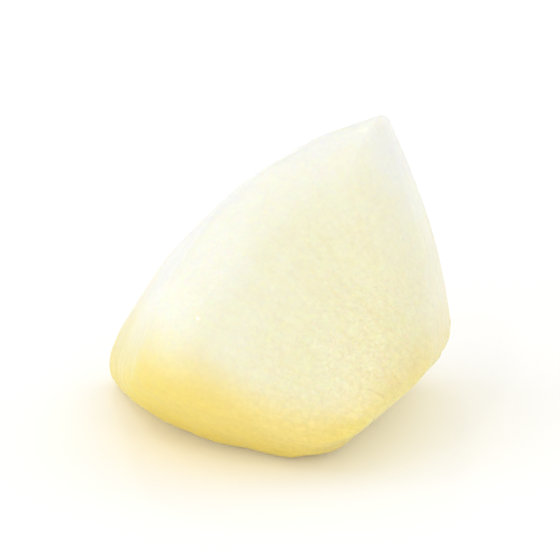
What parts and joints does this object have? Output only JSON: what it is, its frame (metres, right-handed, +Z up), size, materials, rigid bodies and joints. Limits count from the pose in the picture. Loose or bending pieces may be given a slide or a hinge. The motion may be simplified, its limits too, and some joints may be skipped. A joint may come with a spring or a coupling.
{
  "type": "diced melon chunk",
  "caption": "Bite-size chunk of peeled melon flesh with a curved pared side, flat knife-cut faces and soft edges, resting on a flat cut face.",
  "frame": {"origin": "on the surface that the chunk rests on, under the centre of its bounding box", "axes": "+Z up from the resting face; the broad front cut face looks towards -Y and leans back; +X points to the face that the fan's tip stands over, and the pared face is up and towards -X"},
  "size_m": [0.0364, 0.0328, 0.0318],
  "materials": {
    "flesh": "wet, pale cream to ivory melon flesh with a fine cell grain"
  },
  "bodies": {
    "root": {"melon_chunk": "flesh"}
  },
  "joints": []
}
